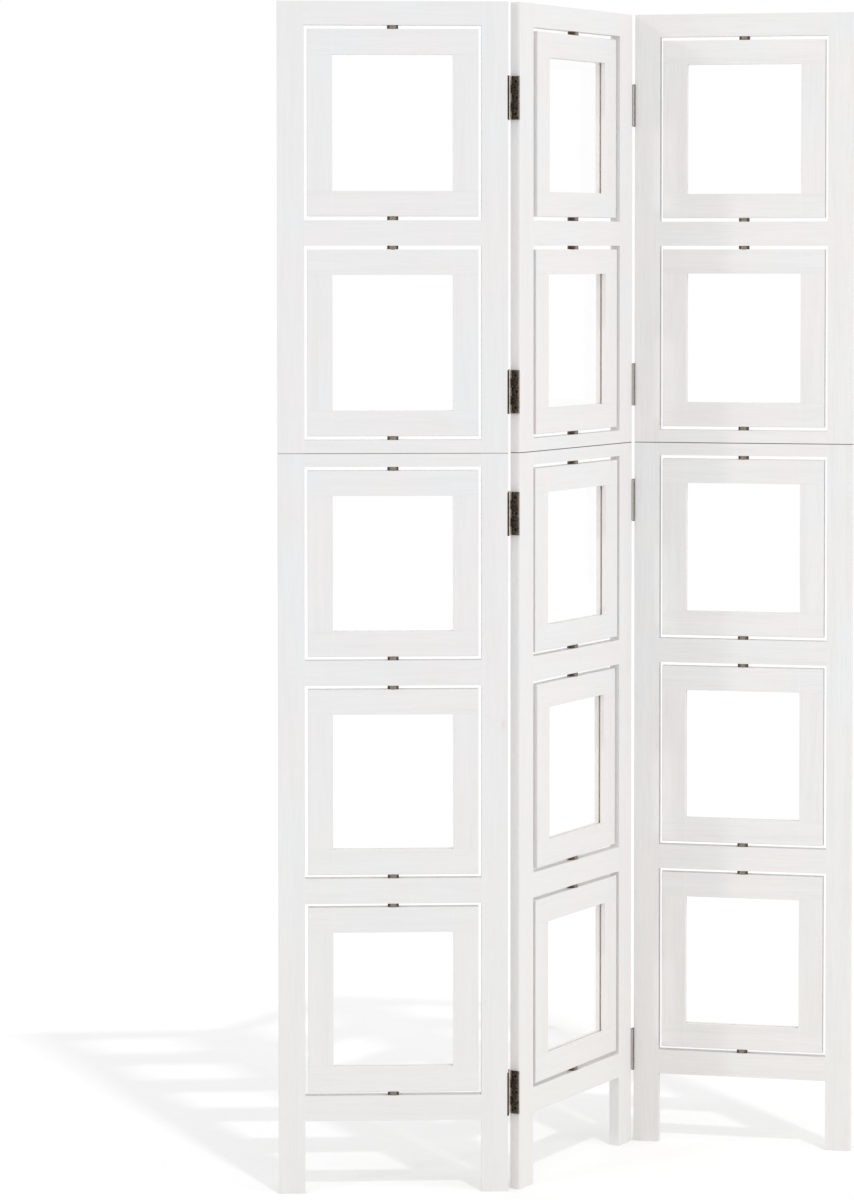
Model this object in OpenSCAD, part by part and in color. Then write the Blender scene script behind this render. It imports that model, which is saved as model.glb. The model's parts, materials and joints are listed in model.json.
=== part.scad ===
// Folding room divider of three panels with five photo frames each.
// Every frame turns about the vertical line through its middle, between two pivot pins.
// The panels stand on their legs in a zigzag and fold on four butt hinges at each seam.
// The left panel lies along X, the front faces -Y, and the floor is at Z = 0.

/* [Panels] */
// Width of one panel
panel_w = 328; // [280:1:420]
// Thickness of the panels and of the photo frames
panel_t = 16; // [15:0.5:22]
// Width of a stile, the upright at each side of a panel
stile_w = 38; // [34:1:60]
// Height of the top rail
top_rail_h = 34; // [30:1:60]
// Height of a rail between two photo frames
mid_rail_h = 36; // [32:1:60]
// Height of each of the two rails that meet where the upper section stands on the lower one
seam_rail_h = 19; // [17:0.5:30]
// Height of the bottom rail
bottom_rail_h = 36; // [30:1:60]
// Length of a leg below the bottom rail
leg_h = 104; // [60:1:200]
// Chamfer along the outer edges of panels and frames
edge_chamfer = 0.8; // [0.3:0.1:1.5]
// Depth of the V-shaped line round a panel where its two sections meet
seam_groove = 0.6; // [0.2:0.1:1.2]
// How far each seam rail stays back from the meeting line, so that the stiles carry the load
seam_relief = 0.2; // [0.1:0.05:0.5]

/* [Photo frames] */
// Height of a photo frame
frame_h = 265; // [200:1:320]
// Width of a frame's four members
member_w = 36; // [30:1:46]
// Gap between a frame and the stile beside it
frame_side_gap = 4.5; // [2:0.5:8]
// Depth of the groove that holds the two panes
groove_depth = 6; // [4:0.5:9]
// Thickness of one clear pane
pane_t = 1.2; // [1:0.1:2]
// Room for the photograph between the two panes
photo_gap = 0.3; // [0.2:0.1:0.8]
// Clearance between the panes and the sides of their groove
pane_side_play = 0.15; // [0.1:0.05:0.3]
// Clearance between the panes' edges and the floor of their groove
pane_edge_play = 0.4; // [0.2:0.1:0.8]
// Width of the glue line between two members
glue_line = 0.05; // [0.03:0.01:0.1]

/* [Frame pivots] */
// Diameter of a pivot pin
pivot_d = 6; // [4:0.5:8]
// Length of a pivot pin inside the rail
pivot_in_rail = 14; // [10:0.5:15]
// Length of a pivot pin inside the frame
pivot_in_frame = 12; // [8:0.5:20]
// Radial running clearance of a pivot pin in the frame
pivot_clearance = 0.12; // [0.1:0.01:0.2]
// Diameter of the spacer disc on a pivot pin
spacer_d = 16; // [12:0.5:18]
// Height of a spacer disc, which is the gap above and below a frame
spacer_h = 5.5; // [3:0.5:8]
// End play between a frame and its upper spacer disc
spacer_play = 0.3; // [0.2:0.1:0.6]
// Running gap between a frame and the lower spacer disc that carries it
seat_play = 0.05; // [0.03:0.01:0.1]

/* [Hinges] */
// Length of a hinge
hinge_l = 62; // [50:1:80]
// Thickness of a hinge leaf
leaf_t = 1.2; // [1.2:0.1:2]
// Gap between the two leaves of a hinge when the panels lie in one plane
leaf_play = 0.4; // [0.4:0.1:1.5]
// How far a leaf's free edge stays back from the far face of the panel
leaf_margin = 0.4; // [0.2:0.1:0.8]
// Diameter of a hinge's barrel
barrel_d = 4.4; // [4.2:0.1:6]
// How far the barrel dips below the panel's face
barrel_sink = 0.4; // [0:0.1:0.4]
// Diameter of a hinge pin
hinge_pin_d = 2.4; // [2:0.1:2.6]
// Radial running clearance of a hinge pin
hinge_clearance = 0.05; // [0.02:0.01:0.1]
// Gap between two neighbouring knuckles
knuckle_gap = 0.2; // [0.1:0.05:0.5]
// Distance from the top of a panel to the middle of its first hinge
hinge_from_top = 136; // [80:1:200]
// Distance from the meeting line to the middle of the hinges above and below it
hinge_from_seam = 87; // [50:1:200]
// Distance from the floor to the middle of the lowest hinge
hinge_from_floor = 140; // [80:1:200]

/* [Hinge screws] */
// Diameter of a screw's head
screw_head_d = 5; // [4.4:0.1:5]
// Diameter of a screw's shank
screw_shank_d = 2.8; // [2.4:0.1:3]
// Length of a screw
screw_l = 16; // [12:1:18]
// Distance from a hinge's end to its outer screws
screw_end_inset = 8; // [6:0.5:12]
// Distance of the outer screws from the panel face on the pin side
screw_inset = 9.3; // [8:0.1:10]
// Distance of the middle screw from the panel face on the pin side
middle_screw_inset = 11.2; // [9:0.1:11.3]
// Radial clearance of screws and dowels in their holes
peg_clearance = 0.05; // [0.02:0.01:0.1]

/* [Dowels] */
// Diameter of the wooden dowels
dowel_d = 8; // [6:0.5:8]
// Length of a dowel between a rail and a stile
rail_dowel_l = 30; // [20:1:34]
// Length of a dowel between the upper and the lower section
section_dowel_l = 40; // [24:1:50]
// Distance from a panel's outer edge to a section dowel
section_dowel_inset = 12; // [10:0.5:13]
// Distance between the two dowels at the end of a rail
dowel_pitch = 16; // [14:0.5:16]
// Least wood between a dowel and the face of its rail
dowel_wall = 5; // [4:0.5:5]
// Room left at the blind end of every hole
hole_end_play = 1; // [0.5:0.1:2]

/* [Stance] */
// Fold of the left panel against the middle one, counted from flat
left_fold_angle = 56; // [20:1:160]
// Fold of the right panel against the middle one, counted from flat
right_fold_angle = 70; // [20:1:160]
// Turn of the middle panel's top photo frame, counter-clockwise seen from above
middle_turn_1 = 1.9; // [0:0.1:5]
// Turn of its second photo frame
middle_turn_2 = 1; // [0:0.1:5]
// Turn of its third photo frame
middle_turn_3 = 0.4; // [0:0.1:5]
// Turn of its fourth photo frame
middle_turn_4 = 2.1; // [0:0.1:5]
// Turn of its lowest photo frame
middle_turn_5 = 0.8; // [0:0.1:5]

/* [Hidden] */
$fn = 48;
panels = ["left", "middle", "right"];
frames_per_panel = 5;
upper_frames = 2;

// Heights, worked up from the floor
frame_slot = frame_h + 2 * spacer_h;
frame_pitch = frame_slot + mid_rail_h;
lower_h = leg_h + bottom_rail_h + 2 * frame_pitch + frame_slot + seam_rail_h;
upper_h = seam_rail_h + frame_pitch + frame_slot + top_rail_h;
total_h = lower_h + upper_h;

// Underside of a frame, with frame 1 at the top of the panel
function frame_z(n) =
    n > upper_frames
        ? leg_h + bottom_rail_h + spacer_h + (frames_per_panel - n) * frame_pitch
        : lower_h + seam_rail_h + spacer_h + (upper_frames - n) * frame_pitch;

// Rails as [underside, top, pivot pin in the underside, pivot pin in the top]
lower_rails = [
    [leg_h, leg_h + bottom_rail_h, false, true],
    [frame_z(4) - spacer_h - mid_rail_h, frame_z(4) - spacer_h, true, true],
    [frame_z(3) - spacer_h - mid_rail_h, frame_z(3) - spacer_h, true, true],
    [lower_h - seam_rail_h, lower_h - seam_relief, true, false],
];
upper_rails = [
    [lower_h + seam_relief, lower_h + seam_rail_h, false, true],
    [frame_z(1) - spacer_h - mid_rail_h, frame_z(1) - spacer_h, true, true],
    [total_h - top_rail_h, total_h, true, false],
];
lower_hinges = [hinge_from_floor, lower_h - hinge_from_seam];
upper_hinges = [lower_h + hinge_from_seam, total_h - hinge_from_top];

// Widths
rail_w = panel_w - 2 * stile_w;
frame_x = stile_w + frame_side_gap;
frame_w = panel_w - 2 * frame_x;
open_w = frame_w - 2 * member_w;
open_h = frame_h - 2 * member_w;
pane_stack = 2 * pane_t + photo_gap;
groove_w = pane_stack + 2 * pane_side_play;
half_t = panel_t / 2;

// Hinge, drawn round its pin
hinge_gap = 2 * leaf_t + leaf_play;
half_gap = hinge_gap / 2;
barrel_r = barrel_d / 2;
pin_offset = barrel_r - barrel_sink;
leaf_w = panel_t - leaf_margin;
knuckles = 5;
knuckle_pitch = hinge_l / knuckles;
knuckle_clearance = 0.25;
leaf_back = sqrt(pow(barrel_r + knuckle_clearance, 2) - pow(leaf_play / 2, 2));
pin_head_h = 0.7;
pin_head_d = hinge_pin_d + 1.2;
outer_knuckles = [0, 2, 4];
inner_knuckles = [1, 3];
head_h = (screw_head_d - screw_shank_d) / 2;
recess_w = 0.7;
recess_l = screw_head_d / 2;
tip_h = 3;
// Screws of one leaf as [distance from the pin-side face, height from the hinge's middle]
screws = [
    [screw_inset, hinge_l / 2 - screw_end_inset],
    [middle_screw_inset, 0],
    [screw_inset, screw_end_inset - hinge_l / 2],
];

// Where each panel stands. A place is the panel's lower front left corner.
function turned(v, a) = [v.x * cos(a) - v.y * sin(a), v.x * sin(a) + v.y * cos(a)];
function yaw(panel) =
    panel == "left" ? 0
    : panel == "middle" ? left_fold_angle
    : left_fold_angle - right_fold_angle;
left_place = [0, 0];
left_pin = left_place + [panel_w + half_gap, panel_t + pin_offset];
middle_place = left_pin + turned([half_gap, -panel_t - pin_offset], yaw("middle"));
right_pin = middle_place + turned([panel_w + half_gap, -pin_offset], yaw("middle"));
right_place = right_pin + turned([half_gap, pin_offset], yaw("right"));
function place(panel) =
    panel == "left" ? left_place : panel == "middle" ? middle_place : right_place;

// The origin is under the middle of the whole divider's box
function chamfered(w, d, c) =
    [[c, 0], [w - c, 0], [w, c], [w, d - c], [w - c, d], [c, d], [0, d - c], [0, c]];
panel_outline = chamfered(panel_w, panel_t, edge_chamfer);
floor_plan = [for (p = panels, v = panel_outline) place(p) + turned(v, yaw(p))];
// Free corners of the hinge leaves, each as [panel, its corner in that panel's own frame]
leaf_corners = [
    ["left", [panel_w + leaf_t, leaf_margin]],
    ["middle", [-leaf_t, leaf_margin]],
    ["middle", [panel_w + leaf_t, panel_t - leaf_margin]],
    ["right", [-leaf_t, panel_t - leaf_margin]],
];
leaf_plan = [for (c = leaf_corners) place(c[0]) + turned(c[1], yaw(c[0]))];
barrel_plan = [for (pin = [left_pin, right_pin], r = [-barrel_r, barrel_r]) pin + [r, r]];
plan = concat(floor_plan, leaf_plan, barrel_plan);
plan_x = [for (v = plan) v.x];
plan_y = [for (v = plan) v.y];
origin = [min(plan_x) + max(plan_x), min(plan_y) + max(plan_y)] / 2;

// How far a photo frame is turned out of its panel
middle_turns = [middle_turn_1, middle_turn_2, middle_turn_3, middle_turn_4, middle_turn_5];
function frame_turn(panel, n) = panel == "middle" ? middle_turns[n - 1] : 0;

white_wood = [0.93, 0.925, 0.92];
bare_wood = [0.8, 0.66, 0.46];
bronze = [0.26, 0.22, 0.18];
clear = [0.86, 0.92, 0.95, 0.3];

// Moves a piece from its panel's own frame to where the panel stands
module in_panel(panel) {
    translate(concat(place(panel) - origin, [0])) rotate(yaw(panel)) children();
}

// Turns a photo frame or its panes about the frame's pivot pins
module on_pivots(panel, n) {
    translate([panel_w / 2, half_t, 0]) rotate(frame_turn(panel, n))
        translate([-panel_w / 2, -half_t, 0]) children();
}

// A slab in the XZ plane whose outer edges are chamfered on both faces
module eased_slab(w, h) {
    intersection() {
        linear_extrude(h) polygon(chamfered(w, panel_t, edge_chamfer));
        rotate([90, 0, 90]) linear_extrude(w) polygon(chamfered(panel_t, h, edge_chamfer));
    }
}

// The whole panel as one slab, with square-cut feet
module panel_slab() {
    translate([0, 0, -edge_chamfer]) eased_slab(panel_w, total_h + edge_chamfer);
}

// The V-shaped line round a panel at its meeting line
module seam_line() {
    side = seam_groove * sqrt(2);
    for (y = [0, panel_t])
        translate([panel_w / 2, y, lower_h]) rotate([45, 0, 0])
            cube([panel_w + 2, side, side], center = true);
    for (x = [0, panel_w])
        translate([x, half_t, lower_h]) rotate([0, 45, 0])
            cube([side, panel_t + 2, side], center = true);
}

// A hole from the given point, towards +X with turn 0 and towards -X with turn 180
module hole_along_x(point, d, depth, turn) {
    translate(point) rotate([0, 90 + turn, 0]) cylinder(d = d, h = depth);
}

// Heights of the dowels at the end of a rail
function rail_dowel_heights(rail) =
    let (mid = (rail[0] + rail[1]) / 2)
    rail[1] - rail[0] >= dowel_pitch + dowel_d + 2 * dowel_wall
        ? [mid - dowel_pitch / 2, mid + dowel_pitch / 2]
        : [mid];

// Screw holes down one edge of a panel, on the back where the pin is behind the panel
module edge_screw_holes(side, pin_behind, hinges) {
    depth = screw_l - leaf_t + hole_end_play;
    d = screw_shank_d + 2 * peg_clearance;
    for (z = hinges, s = screws) {
        y = pin_behind ? panel_t - s[0] : s[0];
        x = side == "left" ? 0 : panel_w;
        hole_along_x([x, y, z + s[1]], d, depth, side == "left" ? 0 : 180);
    }
}

// One stile of one section
module stile(panel, side, upper) {
    rails = upper ? upper_rails : lower_rails;
    hinges = upper ? upper_hinges : lower_hinges;
    bottom = upper ? lower_h : 0;
    height = upper ? upper_h : lower_h;
    at_left = side == "left";
    inner_x = at_left ? stile_w : panel_w - stile_w;
    section_x = at_left ? section_dowel_inset : panel_w - section_dowel_inset;
    hole_d = dowel_d + 2 * peg_clearance;
    hinged = !(panel == "left" && at_left) && !(panel == "right" && !at_left);
    pin_behind = panel == "left" || (panel == "middle" && at_left);
    color(white_wood) difference() {
        intersection() {
            panel_slab();
            translate([at_left ? 0 : inner_x, 0, bottom]) cube([stile_w, panel_t, height]);
        }
        seam_line();
        for (rail = rails, z = rail_dowel_heights(rail))
            hole_along_x([inner_x, half_t, z], hole_d, rail_dowel_l / 2 + hole_end_play,
                at_left ? 180 : 0);
        translate([section_x, half_t, lower_h])
            cylinder(d = hole_d, h = section_dowel_l + 2 * hole_end_play, center = true);
        if (hinged) edge_screw_holes(side, pin_behind, hinges);
    }
}

// The seven rails of a panel
module rails() {
    hole_d = dowel_d + 2 * peg_clearance;
    dowel_depth = rail_dowel_l / 2 + hole_end_play;
    pin_depth = pivot_in_rail + hole_end_play;
    color(white_wood) for (rail = concat(lower_rails, upper_rails)) difference() {
        intersection() {
            panel_slab();
            translate([stile_w, 0, rail[0]]) cube([rail_w, panel_t, rail[1] - rail[0]]);
        }
        seam_line();
        for (z = rail_dowel_heights(rail)) {
            hole_along_x([stile_w, half_t, z], hole_d, dowel_depth, 0);
            hole_along_x([panel_w - stile_w, half_t, z], hole_d, dowel_depth, 180);
        }
        translate([panel_w / 2, half_t, 0]) {
            if (rail[2]) translate([0, 0, rail[0]]) pivot_hole(pin_depth, 1);
            if (rail[3]) translate([0, 0, rail[1]]) pivot_hole(pin_depth, -1);
        }
    }
}

// A blind hole for a pivot pin, upwards or downwards from the origin
module pivot_hole(depth, up) {
    translate([0, 0, up > 0 ? 0 : -depth])
        cylinder(d = pivot_d + 2 * pivot_clearance, h = depth);
}

// Dowels between rails and stiles, and between the two sections
module dowels() {
    color(bare_wood) {
        for (rail = concat(lower_rails, upper_rails), z = rail_dowel_heights(rail))
            for (x = [stile_w, panel_w - stile_w])
                translate([x, half_t, z]) rotate([0, 90, 0])
                    cylinder(d = dowel_d, h = rail_dowel_l, center = true);
        for (x = [section_dowel_inset, panel_w - section_dowel_inset])
            translate([x, half_t, lower_h])
                cylinder(d = dowel_d, h = section_dowel_l, center = true);
    }
}

// Pivot pins and their spacer discs, below and above every frame of a panel
module frame_pivots() {
    pin_l = pivot_in_rail + spacer_h + pivot_in_frame;
    color(bronze) for (n = [1:frames_per_panel]) translate([panel_w / 2, half_t, frame_z(n)]) {
        translate([0, 0, -spacer_h - pivot_in_rail]) cylinder(d = pivot_d, h = pin_l);
        translate([0, 0, -spacer_h]) spacer_disc(spacer_h - seat_play);
        translate([0, 0, frame_h - pivot_in_frame]) cylinder(d = pivot_d, h = pin_l);
        translate([0, 0, frame_h + spacer_play]) spacer_disc(spacer_h - spacer_play);
    }
}

// A flat disc with a hole for the pivot pin
module spacer_disc(h) {
    difference() {
        cylinder(d = spacer_d, h = h);
        translate([0, 0, -1]) cylinder(d = pivot_d + 2 * pivot_clearance, h = h + 2);
    }
}

// The four members of a photo frame, joined by tongues in the groove for the panes
module photo_frame(n) {
    color(white_wood) translate([frame_x, 0, frame_z(n)]) {
        frame_end(0);
        frame_end(frame_h - member_w);
        frame_side();
        translate([frame_w, panel_t, 0]) rotate(180) frame_side();
    }
}

// The bottom or top member, as wide as the frame
module frame_end(z) {
    at_bottom = z == 0;
    difference() {
        intersection() {
            eased_slab(frame_w, frame_h);
            translate([0, 0, z]) cube([frame_w, panel_t, member_w]);
        }
        translate([-1, half_t - groove_w / 2, at_bottom ? member_w - groove_depth : z - 1])
            cube([frame_w + 2, groove_w, groove_depth + 1]);
        translate([frame_w / 2, half_t, at_bottom ? 0 : frame_h])
            pivot_hole(pivot_in_frame + hole_end_play, at_bottom ? 1 : -1);
    }
}

// The left member, which stands between the bottom and the top one
module frame_side() {
    tongue_t = groove_w - 2 * glue_line;
    tongue_w = member_w - groove_depth;
    tongue_l = open_h + 2 * (groove_depth - hole_end_play / 2);
    difference() {
        intersection() {
            eased_slab(frame_w, frame_h);
            translate([0, 0, member_w + glue_line])
                cube([member_w, panel_t, open_h - 2 * glue_line]);
        }
        translate([member_w - groove_depth, half_t - groove_w / 2, 0])
            cube([groove_depth + 1, groove_w, frame_h]);
    }
    translate([0, half_t - tongue_t / 2, (frame_h - tongue_l) / 2])
        cube([tongue_w, tongue_t, tongue_l]);
}

// The two clear panes of a photo frame, which stand in its groove
module panes(n) {
    reach = groove_depth - pane_edge_play;
    color(clear) translate([frame_x + member_w, half_t, frame_z(n) + member_w])
        for (y = [-pane_stack / 2, photo_gap / 2])
            translate([-reach, y, -groove_depth])
                cube([open_w + 2 * reach, pane_t, open_h + groove_depth + reach]);
}

// A hinge leaf round its pin, for a panel towards -X and -Y of the pin
module leaf(own_knuckles) {
    face_x = -half_gap;
    hole_x = face_x + leaf_t;
    far_y = pin_offset + leaf_w;
    color(bronze) difference() {
        union() {
            translate([face_x, -far_y, -hinge_l / 2])
                cube([leaf_t, far_y - leaf_back, hinge_l]);
            for (k = own_knuckles)
                translate([0, 0, (k - knuckles / 2) * knuckle_pitch + knuckle_gap / 2]) {
                    cylinder(r = barrel_r, h = knuckle_pitch - knuckle_gap);
                    translate([face_x, -leaf_back - 1, 0])
                        cube([leaf_t, leaf_back + 1, knuckle_pitch - knuckle_gap]);
                }
        }
        cylinder(d = hinge_pin_d + 2 * hinge_clearance, h = hinge_l + 2, center = true);
        for (s = screws) translate([hole_x, -pin_offset - s[0], s[1]]) countersunk_hole();
    }
}

// A countersunk hole along -X from the origin
module countersunk_hole() {
    shank_d = screw_shank_d + 2 * peg_clearance;
    rotate([0, -90, 0]) {
        cylinder(d1 = screw_head_d + 2 * peg_clearance, d2 = shank_d, h = head_h);
        translate([0, 0, head_h / 2]) cylinder(d = shank_d, h = leaf_t + 1);
        translate([0, 0, -1]) cylinder(d = screw_head_d + 2 * peg_clearance, h = 1);
    }
}

// A wood screw along -X, with its head at the origin and a cross recess in it
module screw() {
    rotate([0, -90, 0]) translate([0, 0, peg_clearance]) difference() {
        union() {
            cylinder(d1 = screw_head_d, d2 = screw_shank_d, h = head_h);
            translate([0, 0, head_h]) cylinder(d = screw_shank_d, h = screw_l - head_h - tip_h);
            translate([0, 0, screw_l - tip_h])
                cylinder(d1 = screw_shank_d, d2 = screw_shank_d / 4, h = tip_h);
        }
        for (a = [0, 90])
            rotate(a) cube([recess_l, recess_w, 2 * head_h], center = true);
    }
}

// The screws of one leaf, in the same frame as the leaf
module leaf_screws() {
    color(bronze) for (s = screws)
        translate([leaf_t - half_gap, -pin_offset - s[0], s[1]]) screw();
}

// A hinge pin with a head at each end
module hinge_pin() {
    color(bronze) {
        cylinder(d = hinge_pin_d, h = hinge_l + pin_head_h, center = true);
        for (m = [0, 1]) mirror([0, 0, m]) translate([0, 0, hinge_l / 2])
            cylinder(d = pin_head_d, h = pin_head_h);
    }
}

// Puts a piece drawn round the pin at each hinge of one edge of a panel
module at_hinges(side, pin_behind) {
    x = side == "left" ? -half_gap : panel_w + half_gap;
    y = pin_behind ? panel_t + pin_offset : -pin_offset;
    for (z = concat(lower_hinges, upper_hinges)) translate([x, y, z])
        mirror([side == "left" ? 1 : 0, 0, 0]) mirror([0, pin_behind ? 0 : 1, 0]) children();
}

module hinge_screws(panel) {
    if (panel != "right") at_hinges("right", panel == "left") leaf_screws();
    if (panel != "left") at_hinges("left", panel == "middle") leaf_screws();
}

for (p = panels) {
    in_panel(p) stile(p, "left", true);
    in_panel(p) stile(p, "right", true);
    in_panel(p) stile(p, "left", false);
    in_panel(p) stile(p, "right", false);
    in_panel(p) rails();
    in_panel(p) dowels();
    in_panel(p) frame_pivots();
    in_panel(p) hinge_screws(p);
    for (n = [1:frames_per_panel]) {
        in_panel(p) on_pivots(p, n) photo_frame(n);
        in_panel(p) on_pivots(p, n) panes(n);
    }
}
in_panel("left") at_hinges("right", true) leaf(inner_knuckles);  // left_seam_left_leaves
in_panel("middle") at_hinges("left", true) leaf(outer_knuckles);  // left_seam_middle_leaves
in_panel("middle") at_hinges("left", true) hinge_pin();  // left_seam_hinge_pins
in_panel("middle") at_hinges("right", false) leaf(outer_knuckles);  // right_seam_middle_leaves
in_panel("right") at_hinges("left", false) leaf(inner_knuckles);  // right_seam_right_leaves
in_panel("middle") at_hinges("right", false) hinge_pin();  // right_seam_hinge_pins
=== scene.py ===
"""Looks of the photo frame room divider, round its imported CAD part.

Every visible piece is a CAD node. This script gives each one its material, and sets the camera,
the light and the floor. Lengths are in metres, in the part's own frame.
"""
import json
import math

import bpy
from mathutils import Matrix, Vector

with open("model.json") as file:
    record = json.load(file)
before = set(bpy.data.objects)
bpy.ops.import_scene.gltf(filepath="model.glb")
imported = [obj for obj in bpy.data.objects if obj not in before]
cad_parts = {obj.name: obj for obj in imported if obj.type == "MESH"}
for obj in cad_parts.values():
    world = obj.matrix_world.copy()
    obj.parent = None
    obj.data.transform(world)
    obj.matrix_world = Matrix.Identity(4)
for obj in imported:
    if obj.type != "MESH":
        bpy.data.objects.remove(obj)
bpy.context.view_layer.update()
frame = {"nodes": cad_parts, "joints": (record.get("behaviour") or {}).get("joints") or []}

MM = 0.001
scene = bpy.context.scene

# ---------------------------------------------------------------- the part's own places

PANELS = ("left", "middle", "right")
PANEL_TURN = {"left": 0.0, "middle": 56.0, "right": -14.0}  # degrees about the vertical
PANEL_W = 328 * MM
TOP = 1700 * MM
HALF_UP = 850 * MM
SECTION_LINE = 1059 * MM  # height at which the upper section meets the lower one
SEAM_HALF = 0.6 * MM  # half the height of the line between the sections

FRAMES = (1, 2, 3, 4, 5)  # from the top down
FRAME_TURN = {  # how far the photo frames are turned out of their panel, in degrees
    "left": (0.0, 0.0, 0.0, 0.0, 0.0),
    "middle": (1.9, 1.0, 0.4, 2.1, 0.8),
    "right": (0.0, 0.0, 0.0, 0.0, 0.0),
}
OPENING_W = 171 * MM
OPENING_H = 193 * MM
GROOVE_DEPTH = 6 * MM
GROOVE_W = 3.0 * MM
SPACER_R = 8 * MM

HINGE_L = 62 * MM
HINGE_HEIGHTS = (140 * MM, 972 * MM, 1146 * MM, 1564 * MM)  # of the middles of a seam's hinges
KNUCKLE_L = HINGE_L / 5
BARREL_R = 2.2 * MM
LEAF_REACH = 17.4 * MM  # from a hinge's pin to the free edge of its leaf
SCREW_HEAD_R = 2.5 * MM
SCREWS = (  # in one leaf: distance from the pin, and from the hinge's lower end
    (11.2 * MM, 8 * MM),
    (13.1 * MM, 31 * MM),
    (11.2 * MM, 54 * MM),
)

place_of = {j["name"]: Vector(j["pos_m"]) for j in frame["joints"]}
PIN_AXIS = {"left": place_of["left_fold"], "right": place_of["right_fold"]}


def frame_centre(panel, n):
    """Middle of one turning photo frame, on its panel's centre plane."""
    return place_of[f"{panel}_frame_{n}_turn"]


# ---------------------------------------------------------------- node helpers


def linear(*rgb):
    """A colour written as 0 to 255 display values, as linear numbers with alpha."""
    out = []
    for c in rgb:
        c = c / 255
        out.append(c / 12.92 if c <= 0.04045 else ((c + 0.055) / 1.055) ** 2.4)
    return (*out, 1.0)


WHITE = (1.0, 1.0, 1.0, 1.0)


class Nodes:
    """A few short calls for building a node tree."""

    def __init__(self, tree):
        self.nodes = tree.nodes
        self.links = tree.links
        self.nodes.clear()

    def put(self, socket, value):
        if isinstance(value, bpy.types.NodeSocket):
            self.links.new(value, socket)
        elif value is not None:
            socket.default_value = value

    def math(self, operation, a, b=None, clamp=False):
        n = self.nodes.new("ShaderNodeMath")
        n.operation = operation
        n.use_clamp = clamp
        self.put(n.inputs[0], a)
        self.put(n.inputs[1], b)
        return n.outputs[0]

    def plus(self, a, b):
        return self.math("ADD", a, b)

    def minus(self, a, b):
        return self.math("SUBTRACT", a, b)

    def times(self, a, b):
        return self.math("MULTIPLY", a, b)

    def less(self, a, b):
        return self.math("LESS_THAN", a, b)

    def more(self, a, b):
        return self.math("GREATER_THAN", a, b)

    def most(self, a, b):
        return self.math("MAXIMUM", a, b)

    def size(self, a):
        return self.math("ABSOLUTE", a)

    def gap(self, a, b):
        """How far apart two numbers are."""
        return self.size(self.minus(a, b))

    def length(self, a, b):
        """Length of a vector in the plane."""
        return self.math("SQRT", self.plus(self.times(a, a), self.times(b, b)))

    def vector(self, operation, a, b):
        n = self.nodes.new("ShaderNodeVectorMath")
        n.operation = operation
        self.put(n.inputs[0], a)
        self.put(n.inputs[1], b)
        return n.outputs["Vector"]

    def combine(self, x, y, z):
        n = self.nodes.new("ShaderNodeCombineXYZ")
        for socket, value in zip(n.inputs, (x, y, z)):
            self.put(socket, value)
        return n.outputs[0]

    def separate(self, v):
        n = self.nodes.new("ShaderNodeSeparateXYZ")
        self.put(n.inputs[0], v)
        return n.outputs

    def cut(self, place, seed, step):
        """The place moved along by the seed, so that every piece gets its own bit of a pattern."""
        return self.vector("ADD", place, tuple(seed * s for s in step))

    def noise(self, place, stretch=None, scale=1.0, detail=2.0, roughness=0.5, distortion=0.0):
        if stretch:
            place = self.vector("MULTIPLY", place, stretch)
        n = self.nodes.new("ShaderNodeTexNoise")
        self.put(n.inputs["Vector"], place)
        n.inputs["Scale"].default_value = scale
        n.inputs["Detail"].default_value = detail
        n.inputs["Roughness"].default_value = roughness
        n.inputs["Distortion"].default_value = distortion
        return n.outputs["Fac"]

    def range(self, value, low, high, to_low=0.0, to_high=1.0, smooth=False):
        n = self.nodes.new("ShaderNodeMapRange")
        n.interpolation_type = "SMOOTHSTEP" if smooth else "LINEAR"
        n.clamp = True
        self.put(n.inputs["Value"], value)
        limits = {"From Min": low, "From Max": high, "To Min": to_low, "To Max": to_high}
        for key, number in limits.items():
            self.put(n.inputs[key], number)
        return n.outputs["Result"]

    def mix(self, factor, a, b, blend="MIX"):
        n = self.nodes.new("ShaderNodeMix")
        n.data_type = "RGBA"
        n.blend_type = blend
        sockets = [s for s in n.inputs if s.type == "RGBA"]
        self.put(n.inputs[0], factor)
        self.put(sockets[0], a)
        self.put(sockets[1], b)
        return next(s for s in n.outputs if s.type == "RGBA")

    def mix_number(self, factor, a, b):
        n = self.nodes.new("ShaderNodeMix")
        n.data_type = "FLOAT"
        self.put(n.inputs[0], factor)
        self.put(n.inputs[2], a)
        self.put(n.inputs[3], b)
        return n.outputs[0]

    def ramp(self, value, *stops):
        n = self.nodes.new("ShaderNodeValToRGB")
        self.put(n.inputs[0], value)
        bar = n.color_ramp.elements
        while len(bar) < len(stops):
            bar.new(0.5)
        for element, (at, colour) in zip(bar, stops):
            element.position = at
            element.color = colour
        return n.outputs["Color"]

    def bump(self, height, strength, distance):
        n = self.nodes.new("ShaderNodeBump")
        n.inputs["Strength"].default_value = strength
        n.inputs["Distance"].default_value = distance
        self.put(n.inputs["Height"], height)
        return n.outputs["Normal"]


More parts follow.
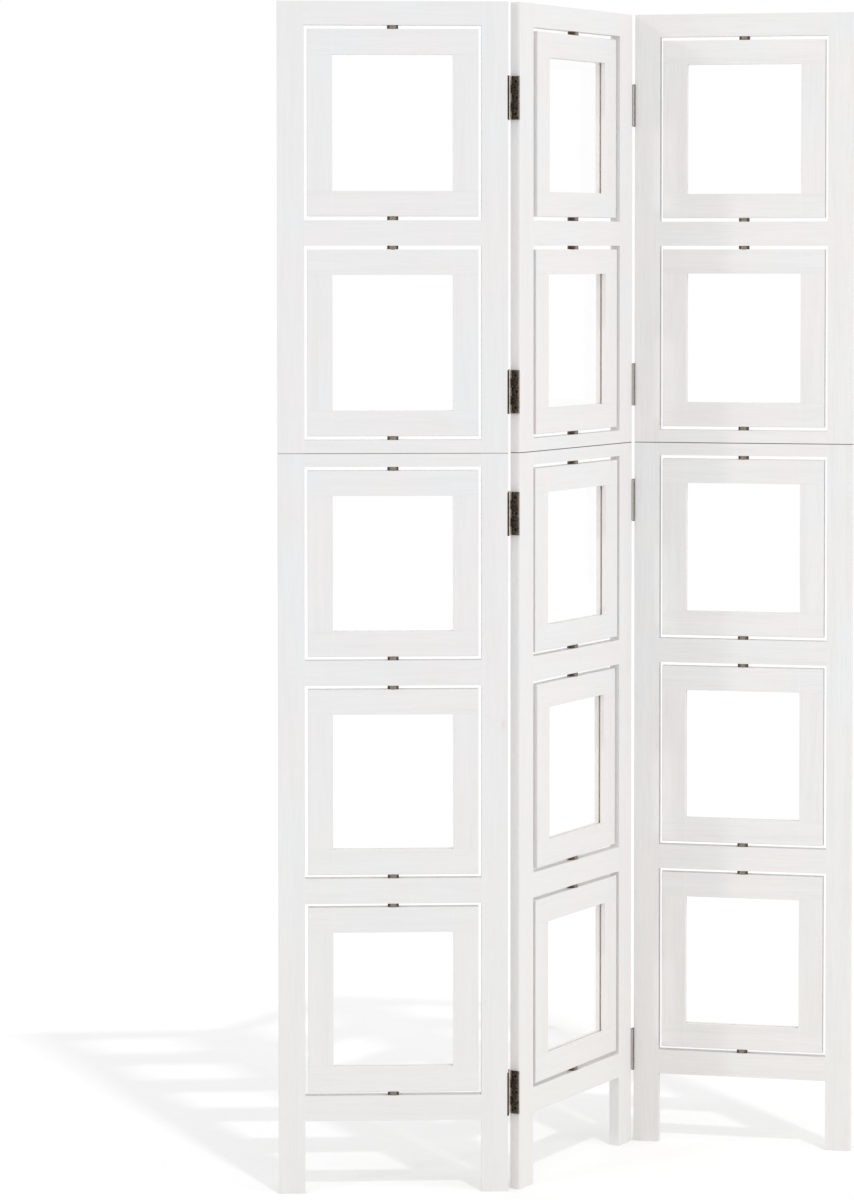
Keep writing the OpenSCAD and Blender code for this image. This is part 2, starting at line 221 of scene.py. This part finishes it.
class Look(Nodes):
    """A material and its node tree."""

    def __init__(self, name):
        self.material = bpy.data.materials.new(name)
        self.material.use_nodes = True
        super().__init__(self.material.node_tree)
        self.output = self.nodes.new("ShaderNodeOutputMaterial")

    def local(self, centre, degrees=0.0):
        """Places that start at centre and turn with the panel: x along it, y from front to back."""
        coordinates = self.nodes.new("ShaderNodeTexCoord")
        place = self.nodes.new("ShaderNodeMapping")
        place.vector_type = "POINT"
        turn = -math.radians(degrees)
        place.inputs["Rotation"].default_value = (0, 0, turn)
        start = Matrix.Rotation(turn, 3, "Z") @ Vector(centre)
        place.inputs["Location"].default_value = -start
        self.links.new(coordinates.outputs["Object"], place.inputs["Vector"])
        return place.outputs["Vector"]

    def surface(self, shader):
        self.links.new(shader.outputs[0], self.output.inputs["Surface"])

    def principled(self, **sockets):
        n = self.nodes.new("ShaderNodeBsdfPrincipled")
        for key, value in sockets.items():
            self.put(n.inputs[key.replace("_", " ")], value)
        self.surface(n)


dressed = set()


def dress(node, material):
    """Puts one material on every slot of a CAD node."""
    piece = frame["nodes"][node]
    if not piece.material_slots:
        piece.data.materials.append(material)
    for slot in piece.material_slots:
        slot.material = material
    dressed.add(node)


# ---------------------------------------------------------------- white paint

PAINT_STOPS = (
    (0.34, linear(235, 236, 238)),
    (0.47, linear(236, 236, 236)),
    (0.66, linear(238, 235, 235)),
)
GRAIN_GREY = linear(219, 217, 214)
KNOT = linear(226, 214, 208)
# painted shade towards a panel's left side, beside its neighbour
LEFT_SIDE_SHADE_TINT = (0.9, 0.89, 0.88, 1.0)
# painted light on the level faces in the narrow gaps
LEVEL_FACE_PAINTED_LIGHT = linear(238, 237, 235)
REVEAL_PAINTED_LIGHT = linear(246, 244, 242)  # painted light on the faces round a photo frame's opening, which stand in shade
RAW_WOOD = linear(184, 173, 160)  # the floor of the groove in a frame's side members
RAW_WOOD_DARK = linear(156, 145, 132)
GROOVE_PAINTED_LIGHT = linear(242, 238, 232)  # painted light on the rest of the groove, its ends and walls, which stand in shade
PAINTED_HINGE_SHADE = linear(52, 46, 42)  # painted shade on the paint beside the left seam's hinges, and on the leaves there

# Patterns, as blots per metre along the board, across it and through it
WIDE_GRAIN = (3.2, 55, 55)
FINE_GRAIN = (16, 330, 330)
BRUSH_MARKS = (28, 900, 900)
KNOT_SPREAD = (3.2, 8.5, 8.5)
CLOUD_SCALE = 7.5  # alike in all directions
CLOUD_SHIFT = (3.1, 0, 0)
BOARD_STEP = (0.37, 1.71, 0.93)  # from one board's bit of the patterns to the next one's
RAIL_SHIFT = 0.7  # sets a photo frame's top and bottom members apart from its sides

LOW_FROM, LOW_TO = 0.75, 0.1  # heights between which the paint gets its colour near the floor
LEFT_SHADE_FROM, LEFT_SHADE_TO = 0.05, -0.15  # places along a panel between which the painted shade on its left side grows
LEVEL = 0.9  # how straight up or down a level face looks at least
HINGE_SHADE_W = 1.3 * MM  # width of the painted shade on a board's corner, beside the hinge leaves
HAIR = 0.15 * MM  # how near counts as on a face, and half the width of a soft edge


def groove_paint(t, x, y, z, fine, paint):
    """Raw wood in the groove of a photo frame's panes, painted light on its ends and walls, and
    painted light on the faces round its opening.
    """
    aside, above, deep = t.size(x), t.size(z), t.size(y)
    between = t.less(deep, GROOVE_W / 2 + 0.05 * MM)
    in_x = t.less(aside, OPENING_W / 2 + GROOVE_DEPTH + 0.2 * MM)
    in_z = t.less(above, OPENING_H / 2 + GROOVE_DEPTH + 0.2 * MM)
    in_groove = t.times(between, t.times(in_x, in_z))
    raw = t.mix(t.range(fine, 0.3, 0.7), RAW_WOOD, RAW_WOOD_DARK)
    at_end = t.more(above, OPENING_H / 2 - 0.2 * MM)
    on_wall = t.more(deep, GROOVE_W / 2 - 0.1 * MM)
    # Painted light on the groove's ends and walls.
    paint = t.mix(in_groove, paint, t.mix(t.most(at_end, on_wall), raw, GROOVE_PAINTED_LIGHT))
    # Painted light on the faces round the opening.
    return t.mix(t.less(t.gap(aside, OPENING_W / 2), HAIR), paint, REVEAL_PAINTED_LIGHT)


def hinge_painted_shade(t, x, height, paint):
    """Painted shade on a board's right corner, beside the four hinges."""
    at_hinge = 0.0
    for hinge in HINGE_HEIGHTS:
        at_hinge = t.plus(t.less(t.gap(height, hinge), HINGE_L / 2), at_hinge)
    return t.mix(t.times(t.more(x, PANEL_W / 2 - HINGE_SHADE_W), at_hinge), paint, PAINTED_HINGE_SHADE)


def painted_wood(
    name, centre, degrees, grain, seed, streaks, tone_and_shade, low, left_side_shade, seam=None, hinge_painted_light=False
):
    """White paint over a board.

    grain is "upright", "level", or "frame" for a photo frame, whose grain goes round its four
    members. streaks is how much of the grain shows, and tone_and_shade is multiplied with the
    paint's colour: a tint of the panel's own, and painted shade that evens out how much light the
    three panels catch. low is its colour near the floor, and left_side_shade how much painted shade
    darkens it towards the panel's left side, beside its neighbour. seam is the colour in the line
    between a panel's two sections. A board with hinge_painted_light gets painted shade on its right
    corner, beside the hinge leaves.
    """
    t = Look(name)
    x, y, z = t.separate(t.local(centre, degrees))
    height = t.plus(z, centre[2])
    if grain == "upright":
        along, across = z, x
    elif grain == "level":
        along, across = x, z
    else:
        in_rail = t.more(t.size(z), OPENING_H / 2)
        along = t.mix_number(in_rail, z, x)
        across = t.mix_number(in_rail, x, t.plus(z, RAIL_SHIFT))
    board = t.cut(t.combine(along, across, y), seed, BOARD_STEP)

    wide = t.noise(board, WIDE_GRAIN, detail=3, roughness=0.55, distortion=0.15)
    fine = t.noise(board, FINE_GRAIN, detail=3, roughness=0.6)
    brush = t.noise(board, BRUSH_MARKS)
    clouded = t.vector("ADD", board, CLOUD_SHIFT)
    cloud = t.noise(clouded, scale=CLOUD_SCALE, roughness=0.45)

    paint = t.ramp(cloud, *PAINT_STOPS)
    paint = t.mix(t.range(height, LOW_FROM, LOW_TO, 0.0, 0.75, smooth=True), paint, low)
    wide_shown = t.range(wide, 0.42, 0.74, 0.0, 0.20 * streaks)
    fine_shown = t.range(fine, 0.46, 0.80, 0.0, 0.30 * streaks)
    paint = t.mix(t.math("ADD", wide_shown, fine_shown, clamp=True), paint, GRAIN_GREY)

    # A knot or two that the paint doesn't quite hide.
    knots = t.nodes.new("ShaderNodeTexVoronoi")
    knots.feature = "F1"
    t.put(knots.inputs["Vector"], t.vector("MULTIPLY", board, KNOT_SPREAD))
    knots.inputs["Scale"].default_value = 1.0
    knot = t.range(knots.outputs["Distance"], 0.05, 0.012, 0.0, 0.55, smooth=True)
    paint = t.mix(knot, paint, KNOT)

    if grain == "frame":
        paint = groove_paint(t, x, y, z, fine, paint)
    else:
        in_seam = t.range(t.gap(height, SECTION_LINE), SEAM_HALF + HAIR, SEAM_HALF - HAIR)
        paint = t.mix(in_seam, paint, seam)
    # Painted shade on the board's right corner, beside the hinge leaves.
    if hinge_painted_light:
        paint = hinge_painted_shade(t, x, height, paint)
    # A tint of the panel's own, and painted shade that evens out the light the three panels catch.
    paint = t.mix(1.0, paint, tone_and_shade, blend="MULTIPLY")

    # Painted light on the level faces, which stand in shade in the narrow gaps.
    facing = t.nodes.new("ShaderNodeTexCoord").outputs["Normal"]
    level = t.more(t.size(t.separate(facing)[2]), LEVEL)
    below_top = t.less(height, TOP - 1 * MM)
    paint = t.mix(t.times(level, below_top), paint, LEVEL_FACE_PAINTED_LIGHT)
    # Painted shade towards the panel's left side, beside its neighbour.
    if left_side_shade:
        left_shade_share = t.range(x, LEFT_SHADE_FROM, LEFT_SHADE_TO, 0.0, left_side_shade, smooth=True)
        paint = t.mix(left_shade_share, paint, LEFT_SIDE_SHADE_TINT, blend="MULTIPLY")

    t.principled(
        Base_Color=paint,
        Roughness=t.range(fine, 0.3, 0.75, 0.40, 0.54),
        IOR=1.46,
        Normal=t.bump(t.plus(t.times(fine, 0.6), t.times(brush, 0.4)), 0.35, 0.25 * MM),
    )
    return t.material


# ---------------------------------------------------------------- dark bronze

BRONZE_DARK = linear(76, 72, 64)
BRONZE_BROWN = linear(108, 86, 66)
BRONZE_WORN = linear(158, 149, 136)
SPACER_DARK = linear(78, 66, 60)
SCREW_DARK = linear(56, 50, 45)
LEAF_DARK = linear(102, 100, 95)
LEAF_BROWN = linear(138, 110, 86)
LEAF_PIT = linear(44, 40, 36)
LEAF_EDGE = linear(180, 162, 142)
BARREL_PAINTED_HIGHLIGHT = linear(246, 238, 226)  # painted highlight on the barrels in the narrow left seam, made light as little light comes there
BARREL_FRONT = linear(106, 102, 96)
BARREL_FRONT_WORN = linear(142, 138, 130)
# painted highlight on the left side of the right seam's barrels
BARREL_LEFT_HIGHLIGHT = linear(212, 209, 205)
DEEP_LEAF_SHADE_TINT = (0.25, 0.24, 0.22, 1.0)  # painted shade: darkens the reflection of the leaves that are seen almost edge on

# Patterns, as blots per metre
PATCH_SCALE = 130
SPECKLE_SCALE = 900
PIT_SCALE = 430
SCRATCHES = (420, 420, 2600)  # level lines
BRONZE_STEP = (0.11, 0.23, 0.37)


def deep_leaf(t, colour, radius, in_front, scratch):
    """The left panel's leaves at the left seam: painted shade on the leaf, and a painted highlight
    on its barrel.
    """
    colour = t.mix(t.range(radius, BARREL_R + 2 * MM, BARREL_R + 5 * MM), colour, PAINTED_HINGE_SHADE)
    on_barrel = t.range(radius, BARREL_R + 0.5 * MM, BARREL_R + 0.1 * MM)
    # Painted highlight on the barrel, broken up like worn metal.
    hinge_painted_light = t.times(t.times(in_front, on_barrel), t.range(scratch, 0.3, 0.6, 0.6, 1.0))
    return t.mix(hinge_painted_light, colour, BARREL_PAINTED_HIGHLIGHT)


def deep_outer_leaf(t, colour, radius, height, in_front, patches, scratch):
    """The middle panel's leaves at the left seam: worn at their edges and round their screws, with
    a painted highlight on their knuckles.
    """
    at_edge = t.range(
        radius, LEAF_REACH - 2.2 * MM, LEAF_REACH - 0.9 * MM, 0.0, 0.75, smooth=True
    )
    worn_edge = t.times(at_edge, t.range(patches, 0.35, 0.6, 0.45, 1.0))
    colour = t.mix(worn_edge, colour, LEAF_EDGE)

    up = 0.0  # height above the lower end of the hinge
    for hinge in HINGE_HEIGHTS:
        from_end = t.minus(height, hinge - HINGE_L / 2)
        near = t.less(t.gap(height, hinge), HINGE_L / 2 + 0.5 * MM)
        up = t.plus(t.times(near, from_end), up)
    ring = 0.0
    for screw_radius, screw_height in SCREWS:
        away = t.length(t.minus(radius, screw_radius), t.minus(up, screw_height))
        ring = t.most(ring, t.less(t.gap(away, SCREW_HEAD_R + 0.4 * MM), 0.4 * MM))
    colour = t.mix(t.times(ring, t.range(patches, 0.4, 0.6, 0.2, 0.8)), colour, BRONZE_WORN)

    # Its own knuckles, the first, third and fifth of each hinge, get the painted highlight
    # further down the leaf.
    knuckle = t.math("MODULO", t.math("DIVIDE", up, KNUCKLE_L), 2.0)
    reach = t.mix_number(t.less(knuckle, 1.0), BARREL_R + 0.7 * MM, BARREL_R + 2.3 * MM)
    hinge_painted_light = t.times(in_front, t.less(radius, reach))
    return t.mix(t.times(hinge_painted_light, t.range(scratch, 0.3, 0.6, 0.6, 1.0)), colour, BARREL_PAINTED_HIGHLIGHT)


def front_leaf(t, colour, radius, x, pits):
    """The leaves at the right seam, whose barrels stand in front, with a painted highlight on the
    left.
    """
    on_barrel = t.range(radius, BARREL_R + 0.5 * MM, BARREL_R + 0.1 * MM)
    front = t.mix(t.range(pits, 0.35, 0.65), BARREL_FRONT, BARREL_FRONT_WORN)
    left_highlight = t.range(x, 0.2 * MM, -0.9 * MM, smooth=True)
    return t.mix(on_barrel, colour, t.mix(left_highlight, front, BARREL_LEFT_HIGHLIGHT))


def bronze(
    name, centre, seed, degrees=0.0, leaf=None, spacer=False, worn=0.25, brown=0.35,
    dark=BRONZE_DARK, browner=BRONZE_BROWN
):
    """Dark antique bronze: speckled, browner in patches, worn where hands and parts touch.
    Spacers get a painted highlight across their middle.

    leaf says which hinge leaf it is, whose local places start on its pin: "deep" and "deep_outer"
    at the left seam, and "front" at the right one. worn and brown are how much of the lighter
    speckle and of the browner patches shows.
    """
    t = Look(name)
    local = t.local(centre, degrees)
    x, y, z = t.separate(local)
    place = t.cut(local, seed, BRONZE_STEP)
    patches = t.noise(place, scale=PATCH_SCALE, detail=3, roughness=0.6)
    speckle = t.noise(place, scale=SPECKLE_SCALE, detail=3, roughness=0.7)
    scratch = t.noise(place, SCRATCHES, roughness=0.6)
    colour = t.mix(t.range(patches, 0.42, 0.66, 0.0, brown), dark, browner)
    wear_and_highlight = t.range(speckle, 0.50, 0.78, 0.0, worn)
    if spacer:
        # Painted highlight across the middle of each spacer disc.
        spacer_highlight = t.range(t.size(x), SPACER_R * 0.8, SPACER_R * 0.3, 0.0, 0.7, smooth=True)
        wear_and_highlight = t.most(wear_and_highlight, t.times(spacer_highlight, t.range(scratch, 0.25, 0.6, 0.5, 1.0)))
    colour = t.mix(wear_and_highlight, colour, BRONZE_WORN)
    if leaf:
        pits = t.noise(place, scale=PIT_SCALE, roughness=0.6)
        colour = t.mix(t.range(pits, 0.40, 0.50, 0.75, 0.0), colour, LEAF_PIT)
        colour = t.mix(t.range(pits, 0.53, 0.64, 0.0, 0.65), colour, BRONZE_WORN)
        radius = t.length(x, y)
        in_front = t.range(y, 0.9 * MM, 0.2 * MM)
    if leaf == "deep":
        colour = deep_leaf(t, colour, radius, in_front, scratch)
    elif leaf == "deep_outer":
        height = t.plus(z, centre[2])
        colour = deep_outer_leaf(t, colour, radius, height, in_front, patches, scratch)
    elif leaf == "front":
        colour = front_leaf(t, colour, radius, x, pits)
    t.principled(
        Base_Color=colour,
        Metallic=0.85,
        Roughness=t.range(speckle, 0.3, 0.7, 0.36, 0.56),
        Specular_Tint=DEEP_LEAF_SHADE_TINT if leaf == "deep" else WHITE,
        Normal=t.bump(t.plus(speckle, t.times(scratch, 0.5)), 0.4, 0.12 * MM),
    )
    return t.material


# ---------------------------------------------------------------- bare wood and clear sheet

BEECH_STOPS = ((0.3, linear(196, 160, 118)), (0.7, linear(223, 192, 150)))
BEECH_PORE = linear(150, 112, 76)
BEECH_FIGURE = (20, 160, 160)
BEECH_PORES = (180, 1400, 1400)
BEECH_STEP = (1, 0.6, 0.2)

HAZE_SCALE = 22
HAZE_STEP = (1, 0.7, 0)
SHINE_HEAD_ON = 0.01
SHINE_AT_A_SLANT = 0.4


def beech(name, centre, degrees, seed):
    """Bare dowel wood, with short dark pores along the grain."""
    t = Look(name)
    place = t.cut(t.local(centre, degrees), seed, BEECH_STEP)
    figure = t.noise(place, BEECH_FIGURE, detail=4, roughness=0.6)
    pores = t.noise(place, BEECH_PORES, detail=1)
    wood = t.ramp(figure, *BEECH_STOPS)
    wood = t.mix(t.range(pores, 0.62, 0.72, 0.0, 0.6), wood, BEECH_PORE)
    t.principled(
        Base_Color=wood,
        Roughness=t.range(figure, 0.3, 0.7, 0.6, 0.75),
        Normal=t.bump(pores, 0.25, 0.2 * MM),
    )
    return t.material


def clear_sheet(name, centre, seed):
    """Clear acrylic: what is behind shows, with a weak shine that grows at a slant."""
    t = Look(name)
    place = t.cut(t.local(centre), seed, HAZE_STEP)
    haze = t.noise(place, scale=HAZE_SCALE, detail=4, roughness=0.6)
    through = t.nodes.new("ShaderNodeBsdfTransparent")
    through.inputs["Color"].default_value = WHITE
    shine = t.nodes.new("ShaderNodeBsdfGlossy")
    shine.inputs["Color"].default_value = WHITE
    t.put(shine.inputs["Roughness"], t.range(haze, 0.3, 0.7, 0.03, 0.09))
    slant = t.nodes.new("ShaderNodeLayerWeight")
    slant.inputs["Blend"].default_value = 0.5
    path = t.nodes.new("ShaderNodeLightPath").outputs
    lighting = t.most(path["Is Shadow Ray"], path["Is Diffuse Ray"])
    grown = t.math("POWER", slant.outputs["Facing"], 5.0)
    share = t.plus(t.times(grown, SHINE_AT_A_SLANT), SHINE_HEAD_ON)
    mixed = t.nodes.new("ShaderNodeMixShader")
    t.put(mixed.inputs[0], t.times(share, t.minus(1.0, lighting)))
    t.put(mixed.inputs[1], through.outputs[0])
    t.put(mixed.inputs[2], shine.outputs[0])
    t.surface(mixed)
    return t.material


# ---------------------------------------------------------------- every CAD node gets its material

# Each panel's paint. tone_and_shade is partly a tint of its own and partly painted shade;
# left_side_shade is painted shade.
PANEL_PAINT = {
    "left": {
        "streaks": 0.8,
        "tone_and_shade": (0.940, 0.940, 0.942, 1.0),
        "low": linear(236, 235, 233),
        "left_side_shade": 0.0,
    },
    "middle": {
        "streaks": 0.7,
        "tone_and_shade": (0.977, 0.968, 0.960, 1.0),
        "low": linear(236, 235, 232),
        "left_side_shade": 0.0,
    },
    "right": {
        "streaks": 1.15,
        "tone_and_shade": (0.992, 0.988, 0.981, 1.0),
        "low": linear(235, 233, 230),
        "left_side_shade": 0.3,
    },
}
SEAM = {
    "left": linear(186, 182, 178),
    "middle": linear(104, 97, 90),
    "right": linear(118, 111, 103),
}
STILES = ("upper_left_stile", "upper_right_stile", "lower_left_stile", "lower_right_stile")

seed = 1.0
for panel in PANELS:
    turn = PANEL_TURN[panel]
    middle = frame_centre(panel, 3)
    base = Vector((middle.x, middle.y, HALF_UP))
    paint = PANEL_PAINT[panel]
    board = {**paint, "seam": SEAM[panel]}
    for part in STILES:
        seed += 1.0
        name = f"{panel}_{part}"
        hinge_painted_light = panel == "left" and part.endswith("right_stile")
        look = painted_wood(f"paint_{name}", base, turn, "upright", seed, hinge_painted_light=hinge_painted_light, **board)
        dress(name, look)
    seed += 1.0
    look = painted_wood(f"paint_{panel}_rails", base, turn, "level", seed, **board)
    dress(f"{panel}_rails", look)
    for n in FRAMES:
        seed += 1.0
        centre = frame_centre(panel, n)
        own_turn = turn + FRAME_TURN[panel][n - 1]
        name = f"{panel}_frame_{n}"
        dress(name, painted_wood(f"paint_{name}", centre, own_turn, "frame", seed, **paint))
        dress(f"{panel}_panes_{n}", clear_sheet(f"acrylic_{panel}_{n}", centre, seed))
    dress(f"{panel}_dowels", beech(f"beech_{panel}", base, turn, seed))
    pivots = {"spacer": True, "worn": 0.3, "brown": 0.8, "dark": SPACER_DARK}
    dress(f"{panel}_frame_pivots", bronze(f"pivots_{panel}", base, seed, turn, **pivots))
    screws = {"worn": 0.3, "brown": 0.3, "dark": SCREW_DARK}
    dress(f"{panel}_hinge_screws", bronze(f"screws_{panel}", base, seed + 0.5, **screws))

LEAF = {  # by seam, and by the panel that the leaf is on
    ("left", "left"): "deep",
    ("left", "middle"): "deep_outer",
    ("right", "right"): "front",
    ("right", "middle"): "front",
}
for side in ("left", "right"):
    axis = PIN_AXIS[side]
    for owner in (side, "middle"):
        seed += 1.0
        name = f"{side}_seam_{owner}_leaves"
        leaves = {"leaf": LEAF[side, owner], "brown": 0.6, "dark": LEAF_DARK, "browner": LEAF_BROWN}
        dress(name, bronze(f"bronze_{name}", axis, seed, **leaves))
    seed += 1.0
    name = f"{side}_seam_hinge_pins"
    dress(name, bronze(f"bronze_{name}", axis, seed, worn=0.75))

bare = sorted(set(frame["nodes"]) - dressed)
if bare:
    raise SystemExit(f"CAD nodes with no material of their own: {bare}")

# ---------------------------------------------------------------- floor and backdrop

FLOOR_HALF = 9.0
FLOOR_BOUNCE = (0.85, 0.85, 0.85, 1.0)
SKY_LIGHT = (0.885, 0.885, 0.885, 1.0)


def white_or(t, lighting):
    """White for what the camera, a reflection or glass shows, and the lighting colour otherwise."""
    path = t.nodes.new("ShaderNodeLightPath").outputs
    seen = t.most(path["Is Camera Ray"], path["Is Glossy Ray"])
    return t.mix(t.most(seen, path["Is Transmission Ray"]), lighting, WHITE)


corners = [(-1, -1), (1, -1), (1, 1), (-1, 1)]
floor_mesh = bpy.data.meshes.new("studio_floor")
floor_points = [(x * FLOOR_HALF, y * FLOOR_HALF, 0) for x, y in corners]
floor_mesh.from_pydata(floor_points, [], [(0, 1, 2, 3)])
floor = bpy.data.objects.new("studio_floor", floor_mesh)
scene.collection.objects.link(floor)
t = Look("studio_floor")
matte = t.nodes.new("ShaderNodeBsdfDiffuse")
t.put(matte.inputs["Color"], white_or(t, FLOOR_BOUNCE))
t.surface(matte)
floor_mesh.materials.append(t.material)

world = bpy.data.worlds.new("studio")
scene.world = world
world.use_nodes = True
t = Nodes(world.node_tree)
background = t.nodes.new("ShaderNodeBackground")
background.inputs["Strength"].default_value = 1.0
t.put(background.inputs["Color"], white_or(t, SKY_LIGHT))
world_out = t.nodes.new("ShaderNodeOutputWorld")
t.put(world_out.inputs["Surface"], background.outputs[0])

# ---------------------------------------------------------------- lamps and camera

CAMERA_PLACE = (-0.352965, -5.178158, 1.350420)
CAMERA_YAW = -2.43049  # degrees about the vertical, positive to the left
CAMERA_DOWN = 2.0  # degrees
CAMERA_LENS = 106.36431
CAMERA_SENSOR = 36
CAMERA_SHIFT = (-0.0441667, -0.19)
NEAR, FAR = 0.1, 100

# The key lamp is a lying strip of suns: sharp shadow edges along it and soft ones across it.
KEY_SIDE = 26.0  # degrees to the right of the camera's line of sight
KEY_HEIGHT = 56.0  # degrees
KEY_STRENGTH = 0.436
KEY_WIDTH = 0.7  # degrees across each of its suns
KEY_PARTS = (-2.1, -1.4, -0.7, 0.0, 0.7, 1.4, 2.1)  # degrees from KEY_SIDE
SOFT_LAMPS = (  # name, degrees to the right of the line of sight, height, strength, width
    ("side_lamp", -51.0, 12.0, 0.256, 3.0),
    ("fill_lamp", 64.0, 12.0, 0.426, 35.0),
)


def sun(name, aside, height, strength, width):
    """A distant lamp, so many degrees to the right of the camera's line of sight, and so high."""
    a = math.radians(aside + CAMERA_YAW)
    e = math.radians(height)
    towards = Vector((math.sin(a) * math.cos(e), -math.cos(a) * math.cos(e), math.sin(e)))
    data = bpy.data.lights.new(name, "SUN")
    data.energy = strength
    data.angle = math.radians(width)
    lamp = bpy.data.objects.new(name, data)
    lamp.rotation_mode = "QUATERNION"
    lamp.rotation_quaternion = towards.to_track_quat("Z", "Y")
    scene.collection.objects.link(lamp)


for i, aside in enumerate(KEY_PARTS):
    share = KEY_STRENGTH / len(KEY_PARTS)
    sun(f"key_lamp_{i + 1}", KEY_SIDE + aside, KEY_HEIGHT, share, KEY_WIDTH)
for lamp in SOFT_LAMPS:
    sun(*lamp)

camera_data = bpy.data.cameras.new("camera")
camera_data.sensor_fit = "AUTO"
camera_data.sensor_width = CAMERA_SENSOR
camera_data.lens = CAMERA_LENS
camera_data.shift_x, camera_data.shift_y = CAMERA_SHIFT
camera_data.clip_start, camera_data.clip_end = NEAR, FAR
camera = bpy.data.objects.new("camera", camera_data)
camera.location = CAMERA_PLACE
camera.rotation_euler = (math.radians(90 - CAMERA_DOWN), 0, math.radians(CAMERA_YAW))
scene.collection.objects.link(camera)
scene.camera = camera
scene.view_settings.view_transform = "Standard"
scene.cycles.transparent_max_bounces = 32  # folded up, twelve faces of clear sheet stand in a row
